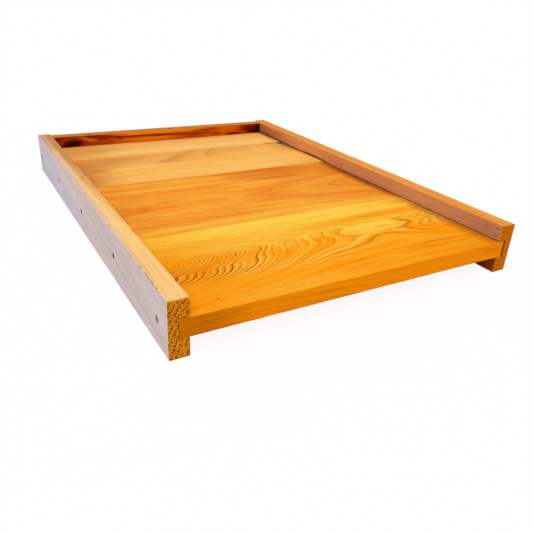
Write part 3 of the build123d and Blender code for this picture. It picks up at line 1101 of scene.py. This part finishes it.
def right_rail_finishes(scene):
    """Outer face, top, inner face, underside, ends, groove and under-floor face of the right rail."""
    low, high = node_box("right_rail")
    top, front, inner, outer = high[2], low[1], low[0], high[0]
    straight = Grain((inner - 20.5, 0.0, 30.0), along_y=True)
    floor = node_box(PLANKS[0])[1][2]
    top_patches = on_face(2, top, RAIL_DEEP, [
        ("pale", outer, 0, 6, 400, 0.7),
        ("dark", outer, 300, 40, 330, 0.25),
    ])
    inner_patches = on_face(0, inner, INNER_DEEP, [
        ("pale", 130, top, 260, 8, 0.45),
        ("pale", -148, floor + 9, 70, 16, 0.25),
        ("pale", 160, floor + 8, 150, 15, 0.25),
        ("pale", 40, floor + 8, 150, 15, 0.3),
        ("pale", 238, floor + 9, 66, 15, 0.45),
        ("dark", 244, floor + 7, 75, 15, 0.65),
        # Painted shade along the foot of the face, where it meets the floor
        ("stain", 252, floor + 2, 30, 5, 0.45),
        ("stain", 88, floor + 1, 50, 4, 0.75),
        ("stain", 190, floor + 0.5, 70, 3.5, 0.6),
        ("stain", 0, floor, 900, 2, 0.15),
        ("dark", front + 4, top - 8, 60, 16, 0.3),
        ("stain", front + 7.5, top - 5.6, 1.6, 1.2, 0.7),
        ("stain", front + 7, top - 14, 1.6, 1.2, 0.7),
        ("dark", front + 22, top - 7, 5, 2.5, 0.4),
    ])
    end_patches = on_face(1, front, RIGHT_END_DEEP, [
        ("stain", inner + 4.5, 14, 1.4, 1.3, 0.9),
        ("stain", inner + 5.5, 9, 1.6, 1.2, 0.85),
        ("stain", inner + 4.5, 4.5, 1.4, 1.1, 0.75),
        ("stain", inner + 8, top - 4, 1.4, 1, 0.5),
    ])
    outer_face = long_grain(
        "right_rail_outer", scene.right_top, straight, lines=0.5,
        patches=nail_dark_patches("right_rail", outer, 0.6), **RAIL_RINGS,
    )
    top_face = long_grain(
        "right_rail_top", scene.right_top, straight, lines=0.4, patches=top_patches, **RAIL_RINGS
    )
    # Inner face: its lilac brown tone is painted shade and cool light
    inner_face = long_grain(
        "right_rail_inner", scene.right_inner, straight, lines=0.12, streaks=0.15, threads=0.1,
        patches=inner_patches, **RAIL_RINGS,
    )
    end = cut_end(
        "right_rail_end", scene.right_end, straight, specks=0.22, patches=end_patches, **RAIL_RINGS
    )
    # Groove: its dark maroon tone is painted shade inside the slot
    groove = long_grain("right_rail_groove", scene.groove, straight, **RAIL_RINGS)
    # Face under the floor: its dark tone is painted shade
    lower = long_grain("right_rail_under_floor", scene.under_floor, straight, **RAIL_RINGS)
    return [outer_face, top_face, inner_face, outer_face, end, groove, lower]


def dent_round(grid, heads, radius, axis, face, way, sizes):
    """Presses a face in round nail heads. face is its place along axis, and way the direction out of it."""
    others = [n for n in range(3) if n != axis]
    close, rim = 0.5, 0.2
    on_it = np.abs(grid[..., axis] - face) < close
    for head in heads:
        away = np.hypot(*(grid[..., n] - head[n] for n in others))
        dent = 1 - smooth_step(radius + rim, radius + sizes.dent_reach, away)
        grid[..., axis] -= way * np.where(on_it, dent * sizes.dent, 0.0)


def tear_fibres(grid, inner, front):
    """Tears fibres out of the right rail's inner face at its front end, above the floor."""
    torn = np.maximum(unevenness(grid[..., 2], TEAR_PHASE, TEAR_WAVES) + TEAR_MORE, 0)
    reach = bump_at(grid[..., 0] - inner, TEAR_IN) * bump_at(grid[..., 1] - front, TEAR_ALONG)
    reach[0] = 0
    grid[..., 1] += TEAR_DEPTH * torn * reach * smooth_step(TEAR_FROM, TEAR_FULL, grid[..., 2])


def make_rail(node, side, finishes, sizes):
    """Side rail from its outline carried from front to back, with dents round its nails.

    The left rail's outer top arris has chips, and the right rail's inner face is torn out at the front end.
    """
    low, high = node_box(node)
    outline = rail_outline(side, low, high, sizes)
    heads, radius = nail_heads(rail_nails(node))
    fine = [head[1] for head in heads]
    if side < 0:
        fine += [place for place, _, _ in CHIPS]
    along, drawn = stations(low[1], high[1], RAIL_SPACING, sizes.end_arris, RAIL_CAP, fine)
    arris = worn_arris(sizes.rail_arris, RAIL_WEAR, outline, along, phase=side, stagger=0.9)
    outer, inner = (low[0], high[0]) if side < 0 else (high[0], low[0])
    if side < 0:
        arris[:, -1] += sum(depth * bump_at(along - place, reach) for place, depth, reach in CHIPS)
    grid = carry(outline, along, drawn, arris)[..., [1, 0, 2]]
    if side > 0:
        tear_fibres(grid, inner, low[1])
    dent_round(grid, heads, radius, 0, outer, side, sizes)
    add_stick(node + "_stick", grid, outline, finishes, RAIL_END, node)


class BOTTOMBOARD_OT_side_rails(bpy.types.Operator):
    """Make the two grooved side rails"""

    bl_idname = "bottom_board.side_rails"
    bl_label = "Side rails"

    def execute(self, context):
        scene = context.scene
        shared_groups()
        make_rail("left_rail", -1, left_rail_finishes(scene), small_sizes())
        make_rail("right_rail", 1, right_rail_finishes(scene), small_sizes())
        return {"FINISHED"}


# Back rail

# Numbers of the back rail's finishes
BACK_INNER, BACK_TOP, BACK_UNDER, BACK_END = range(4)
BACK_SPACING = 2.4
BACK_CAP = 3.0
BACK_DEEP = 9
# Streaks along the grain, the knot on the left with its rays, then dark marks and the dark corners, which are
# partly painted shade
BACK_MARKS_AND_SHADE = (
    ("pale", -15, 54, 98, 5, 0.9),
    ("pale", 40, 53, 50, 3, 0.3),
    ("pale", -25, 43, 50, 5, 0.6),
    ("pale", 118, 48, 26, 6, 0.3),
    ("pale", 92, 41.5, 40, 3.4, 0.32),
    ("dark", -20, 47, 80, 2.6, 0.3),
    ("dark", 52, 47, 46, 3, 0.5),
    ("dark", -118, 53, 34, 2.6, 0.8),
    ("pale", -22, 53, 44, 2.4, 0.6),
    ("dark", -168, 48, 46, 20, 0.97),
    ("dark", -118, 43, 40, 8, 0.45),
    ("pale", -158, 51, 18, 4, 0.25),
    ("pale", -141, 52, 9, 3, 0.4),
    ("pale", -133, 49, 10, 3, 0.45),
    ("pale", -123, 46, 11, 3, 0.45),
    ("pale", -111, 43, 13, 3, 0.4),
    ("dark", -127, 52.6, 12, 2.2, 0.9),
    ("dark", -112, 48, 13, 2.2, 0.8),
    ("stain", -156, 46.5, 15, 7.5, 0.7),
    ("pale", -177, 45, 8, 8, 0.12),
    ("dark", -112, 42.5, 22, 4, 0.5),
    ("dark", -96, 50.2, 30, 1.8, 0.95),
    ("dark", -81, 47.8, 5, 2.6, 0.9),
    ("dark", -48, 49, 50, 1.6, 0.85),
    ("dark", -2, 47.8, 34, 1.9, 0.9),
    ("dark", 60, 44, 50, 6, 0.35),
    ("dark", 76, 51.4, 30, 1.9, 0.75),
    ("dark", 98, 42, 9, 2.6, 0.7),
    ("dark", 132, 41.2, 22, 2.4, 0.9),
    ("dark", 164, 50, 29, 9, 0.95),
    # Dark corners: partly their own stains, partly painted shade where the back rail meets the side rails
    ("stain", -156, 42, 15, 5, 0.97),
    ("stain", -168, 39.6, 12, 3.2, 0.95),
    ("stain", 174, 43, 24, 5.5, 0.97),
    ("stain", 188, 48, 16, 18, 0.97),
)


def knotty_face(tones, face, top):
    """Inner face of the back rail: rings that arch over a dark knot, and stains along the grain."""
    return long_grain(
        "back_rail_inner", tones, Grain((-155, face, top), tilt=math.pi / 2), lines=0.6, streaks=0.4,
        threads=0.6, patches=on_face(1, face, BACK_DEEP, BACK_MARKS_AND_SHADE),
        fraying=dict(fray=0.8, fray_size=(34.0, 2.4, 2.4)), line=dict(seed=44510.0, evenness=0.1),
        pith_depth=60.0, ring_width=5.8, crest=2.0, bow=17.3, rear_point=130.0, waver=0.4,
    )


class BOTTOMBOARD_OT_back_rail(bpy.types.Operator):
    """Make the back rail that stands on the rear plank"""

    bl_idname = "bottom_board.back_rail"
    bl_label = "Back rail"

    def execute(self, context):
        scene = context.scene
        sizes = small_sizes()
        shared_groups()
        low, high = node_box("back_rail")
        outline = Outline([
            ((low[1], low[2]), ROUND, 4.0, BACK_UNDER), ((high[1], low[2]), ROUND, 3.0, BACK_TOP),
            ((high[1], high[2]), ROUND, 1.2, BACK_TOP), ((low[1], high[2]), ROUND, 1.5, BACK_INNER),
        ])
        heads, radius = nail_heads([f"back_rail_nail_{number + 1}" for number in range(BACK_NAILS)])
        fine = [head[0] for head in heads]
        along, drawn = stations(low[0], high[0], BACK_SPACING, sizes.end_arris, BACK_CAP, fine)
        arris = worn_arris(sizes.rail_arris, RAIL_WEAR, outline, along, phase=5, stagger=0.7)
        grid = carry(outline, along, drawn, arris)
        dent_round(grid, heads, radius, 2, high[2], 1, sizes)
        inner = knotty_face(scene.back_inner, low[1], high[2])
        straight = Grain((0, 250, 20))
        top = long_grain(
            "back_rail_top", scene.back_top, straight, lines=0.5, pith_depth=10.0, ring_width=3.0,
            crest=FAR, waver=0.6,
        )
        end = cut_end("back_rail_end", scene.left_end, straight, ring_width=3.0)
        finishes = [inner, top, top, end]
        add_stick("back_rail_stick", grid, outline, finishes, BACK_END, "back_rail")
        return {"FINISHED"}


# Nails

# Sizes of a nail in millimetres: its head, the flare under it and the hollows where the hammer struck
NAIL_THICKNESS, NAIL_RIM = 1.1, 0.22
NAIL_FLARE, NAIL_CLEAR = 0.4, 2
NAIL_HOLLOW = 0.07
NAIL_TIP = 0.1
# Shank as a share of the head, flare as a share of the shank, and point in radii of the shank
NAIL_SHANK, NAIL_FLARED, NAIL_POINT = 0.4, 1.25, 4
NAIL_FACE_RINGS = (0.0, 0.3, 0.6, 0.82)
NAIL_TURNS, NAIL_RIM_STEPS, NAIL_SHANK_STEPS, NAIL_POINT_STEPS = 28, 5, 12, 5
BARE_METAL, RUST_COVER, RUST_ROUGHNESS = 0.6, 0.8, 0.3


def nail_steel(name, tones, bright):
    """Steel of a nail: bare or weathered, with rust in its hollows."""
    material, graph, shader = new_material(name)
    place = Grain(ORIGIN).place(graph)
    patch = graph.noise(place, sizes=(1.8, 1.8, 1.8), detail=3.0).step(0.45, 0.7)
    tone, roughness, shine = (tones.bright, 0.4, 0.5) if bright else (tones.dull, 0.6, 0.1)
    graph.put(shader["Base Color"], graph.mix(patch, tone, tones.rust))
    graph.put(shader["Roughness"], patch * RUST_ROUGHNESS + roughness)
    if bright:
        graph.put(shader["Metallic"], patch * (-RUST_COVER * BARE_METAL) + BARE_METAL)
    shader["Specular IOR Level"].default_value = shine
    pits = graph.noise(place, sizes=(0.6, 0.6, 0.6))
    graph.put(shader["Normal"], graph.bump(pits, strength=0.4, millimetres=0.1))
    return material


def nail_profile(size, head, shank, point):
    """Depth and radius of each ring of a nail, from the middle of its head to its tip."""
    thick, rim = NAIL_THICKNESS, NAIL_RIM
    bend = np.linspace(0, math.pi / 2, NAIL_RIM_STEPS)
    depth = np.concatenate([
        np.zeros(len(NAIL_FACE_RINGS)), rim * (1 - np.cos(bend)), [thick - rim],
        thick - rim * (1 - np.sin(bend[1:])), [thick, thick + NAIL_FLARE],
        np.linspace(thick + NAIL_CLEAR, size - point, NAIL_SHANK_STEPS),
        np.linspace(size - 0.8 * point, size, NAIL_POINT_STEPS),
    ])
    radius = np.concatenate([
        head * np.array(NAIL_FACE_RINGS), head - rim * (1 - np.sin(bend)), [head],
        head - rim * (1 - np.cos(bend[1:])), [shank * NAIL_FLARED, shank],
        np.full(NAIL_SHANK_STEPS, shank), shank * np.linspace(0.8, 0.0, NAIL_POINT_STEPS) + NAIL_TIP,
    ])
    radius[-1] = 0.0
    return depth, radius


def make_nail(node, way, steel, phase):
    """Nail as a surface of revolution about its axis, in place of a node.

    The head is a disc with a rounded rim, a little hollow where the hammer struck, the shank is a
    cylinder, and the point narrows to a four-sided tip: there the radius is mixed with that of a square.
    way is the direction that the nail points in.
    """
    low, high = node_box(node)
    axis = int(np.argmax(np.abs(way)))
    others = [n for n in range(3) if n != axis]
    centre = (low + high) / 2
    head = (high - low)[others[0]] / 2
    size = (high - low)[axis]
    shank = NAIL_SHANK * head
    point = NAIL_POINT * shank
    depth, radius = nail_profile(size, head, shank, point)
    turn = np.linspace(0, 2 * math.pi, NAIL_TURNS, endpoint=False)
    square = 1 / np.maximum(np.abs(np.cos(turn)), np.abs(np.sin(turn))) / math.sqrt(2) * 1.2
    squared = smooth_step(size - point, size - 0.6 * point, depth)[:, None]
    reach = radius[:, None] * (1 + squared * (square[None] - 1))
    struck = np.where(depth < 0.5 * NAIL_RIM, 1.0, 0.0)[:, None]
    waves = np.sin(2.0 * turn[None] + phase) * np.cos(3.0 * reach / head + phase)
    hollow = NAIL_HOLLOW * struck * (1 + waves)
    grid = np.empty(reach.shape + (3,))
    top = low[axis] if way[axis] > 0 else high[axis]
    grid[..., axis] = top + way[axis] * (depth[:, None] + hollow)
    grid[..., others[0]] = centre[others[0]] + reach * np.cos(turn)
    grid[..., others[1]] = centre[others[1]] + reach * np.sin(turn)
    rows, columns = reach.shape
    points = np.concatenate([grid[:1, 0], grid[1:-1].reshape(-1, 3), grid[-1:, 0]])
    index = 1 + np.arange((rows - 2) * columns).reshape(rows - 2, columns)
    quads = ring_quads(index)
    first = np.stack([np.zeros(columns, int), np.roll(index[0], -1), index[0]], axis=1)
    last = np.stack([np.full(columns, len(points) - 1), index[-1], np.roll(index[-1], -1)], axis=1)
    loops = np.concatenate([quads.ravel(), first.ravel(), last.ravel()])
    counts = np.concatenate([np.full(quads.shape[0] * columns, 4), np.full(2 * columns, 3)])
    add_mesh(node + "_wire", points, loops, counts, [steel], np.zeros(len(counts)), node)


class BOTTOMBOARD_OT_nails(bpy.types.Operator):
    """Drive the nails of the side rails and the back rail"""

    bl_idname = "bottom_board.nails"
    bl_label = "Nails"

    def execute(self, context):
        tones = context.scene.nail_colours
        bright = nail_steel("bright_steel", tones, True)
        dull = nail_steel("dull_steel", tones, False)
        for number in range(RAIL_NAILS):
            steel = dull if number else bright
            make_nail(f"left_rail_nail_{number + 1}", np.array([1.0, 0.0, 0.0]), steel, 1.0 + number)
            make_nail(f"right_rail_nail_{number + 1}", np.array([-1.0, 0.0, 0.0]), steel, 4.0 + number)
        for number in range(BACK_NAILS):
            make_nail(f"back_rail_nail_{number + 1}", np.array([0.0, 0.0, -1.0]), dull, 7.0 + number)
        return {"FINISHED"}


# Studio

IMAGE_PIXELS = 533
FOCAL_PIXELS = 547.67
SENSOR = 36.0
EYE = (-331.18, -643.34, 275.36)
EYE_RIGHT = (0.867851, -0.494367, 0.049356)
EYE_UP = (0.18211, 0.408964, 0.894195)
EYE_BACK = (-0.462245, -0.76704, 0.444949)
FLOOR_REACH = 40.0
FLOOR_DROP = 0.1
LAMP_SPREAD = math.radians(50)
LAMP_TURN = (math.radians(28), math.radians(-18), 0.0)
WHITE = (1.0, 1.0, 1.0)


def bare_graph(owner):
    """Graph of a material or world, without the nodes that it starts with."""
    owner.use_nodes = True
    owner.node_tree.nodes.clear()
    return Graph(owner.node_tree)


def seen_directly(graph):
    """1 for rays from the camera and for those that mirror or pass through something."""
    path = graph.add("ShaderNodeLightPath")
    seen = graph.wire(path, "Is Camera Ray").least(graph.wire(path, "Is Glossy Ray"))
    return seen.least(graph.wire(path, "Is Transmission Ray"))


def add_floor(settings):
    """Wide flat floor, a hair under the rails, that looks white and keeps a pale shadow of the board."""
    mesh = bpy.data.meshes.new("studio_floor")
    square = np.array([[-1, -1, 0], [1, -1, 0], [1, 1, 0], [-1, 1, 0]]) * FLOOR_REACH
    square[:, 2] = -FLOOR_DROP * MM
    mesh.from_pydata(square.tolist(), [], [(0, 1, 2, 3)])
    floor = bpy.data.objects.new("studio_floor", mesh)
    bpy.context.scene.collection.objects.link(floor)
    material = bpy.data.materials.new("studio_floor")
    graph = bare_graph(material)
    lit = graph.wire(graph.add("ShaderNodeBsdfDiffuse", {"Color": settings.floor}))
    white = graph.wire(graph.add("ShaderNodeEmission", {"Color": WHITE, "Strength": 1.0}))
    share = seen_directly(graph) * (1 - settings.shadow)
    mixed = graph.wire(graph.add("ShaderNodeMixShader", {0: share, 1: lit, 2: white}))
    graph.add("ShaderNodeOutputMaterial", {"Surface": mixed})
    mesh.materials.append(material)


def add_light(settings):
    """Even sky that looks white, and one large soft lamp from the front left."""
    world = bpy.data.worlds.new("studio_sky")
    bpy.context.scene.world = world
    graph = bare_graph(world)
    strength = graph.ramp(seen_directly(graph), 0.0, 1.0, settings.sky, 1.0)
    sky = graph.wire(graph.add("ShaderNodeBackground", {"Color": WHITE, "Strength": strength}))
    graph.add("ShaderNodeOutputWorld", {"Surface": sky})
    lamp = bpy.data.lights.new("soft_lamp", "SUN")
    lamp.energy = settings.lamp
    lamp.angle = LAMP_SPREAD
    holder = bpy.data.objects.new("soft_lamp", lamp)
    holder.rotation_euler = LAMP_TURN
    bpy.context.scene.collection.objects.link(holder)


def add_camera(scene):
    """Camera where the photograph was taken from."""
    lens = bpy.data.cameras.new("camera")
    lens.sensor_width = SENSOR
    lens.lens = FOCAL_PIXELS / IMAGE_PIXELS * SENSOR
    lens.clip_end = 4 * FLOOR_REACH
    camera = bpy.data.objects.new("camera", lens)
    columns = np.array([EYE_RIGHT, EYE_UP, EYE_BACK, np.array(EYE) * MM]).T
    camera.matrix_world = Matrix(np.vstack([columns, [0, 0, 0, 1]]).tolist())
    scene.collection.objects.link(camera)
    scene.camera = camera


class BOTTOMBOARD_OT_studio(bpy.types.Operator):
    """Set up the floor, the light and the camera"""

    bl_idname = "bottom_board.studio"
    bl_label = "Studio"

    def execute(self, context):
        settings = context.scene.studio
        add_floor(settings)
        add_light(settings)
        add_camera(context.scene)
        context.scene.view_settings.view_transform = "Standard"
        return {"FINISHED"}


class BOTTOMBOARD_PT_panel(bpy.types.Panel):
    """Lists the steps that make the board"""

    bl_idname = "BOTTOMBOARD_PT_panel"
    bl_label = "Bottom board"
    bl_space_type = "VIEW_3D"
    bl_region_type = "UI"
    bl_category = "Bottom board"

    def draw(self, context):
        for step in STEPS:
            self.layout.operator(step.bl_idname)


STEPS = (
    BOTTOMBOARD_OT_floor_planks,
    BOTTOMBOARD_OT_side_rails,
    BOTTOMBOARD_OT_back_rail,
    BOTTOMBOARD_OT_nails,
    BOTTOMBOARD_OT_studio,
)
SETTINGS = {"board_sizes": BoardSizes, "nail_colours": NailColours, "studio": StudioSettings, **TIMBERS}
CLASSES = (*SETTINGS.values(), *STEPS, BOTTOMBOARD_PT_panel)


def register():
    """Registers the classes and hangs the settings on the scene."""
    for item in CLASSES:
        bpy.utils.register_class(item)
    for name, kind in SETTINGS.items():
        setattr(bpy.types.Scene, name, PointerProperty(type=kind))


def unregister():
    """Undoes what register did."""
    for name in SETTINGS:
        delattr(bpy.types.Scene, name)
    for item in reversed(CLASSES):
        bpy.utils.unregister_class(item)


def main():
    """Makes the whole scene."""
    register()
    bpy.ops.bottom_board.floor_planks()
    bpy.ops.bottom_board.side_rails()
    bpy.ops.bottom_board.back_rail()
    bpy.ops.bottom_board.nails()
    bpy.ops.bottom_board.studio()


if __name__ == "__main__":
    main()
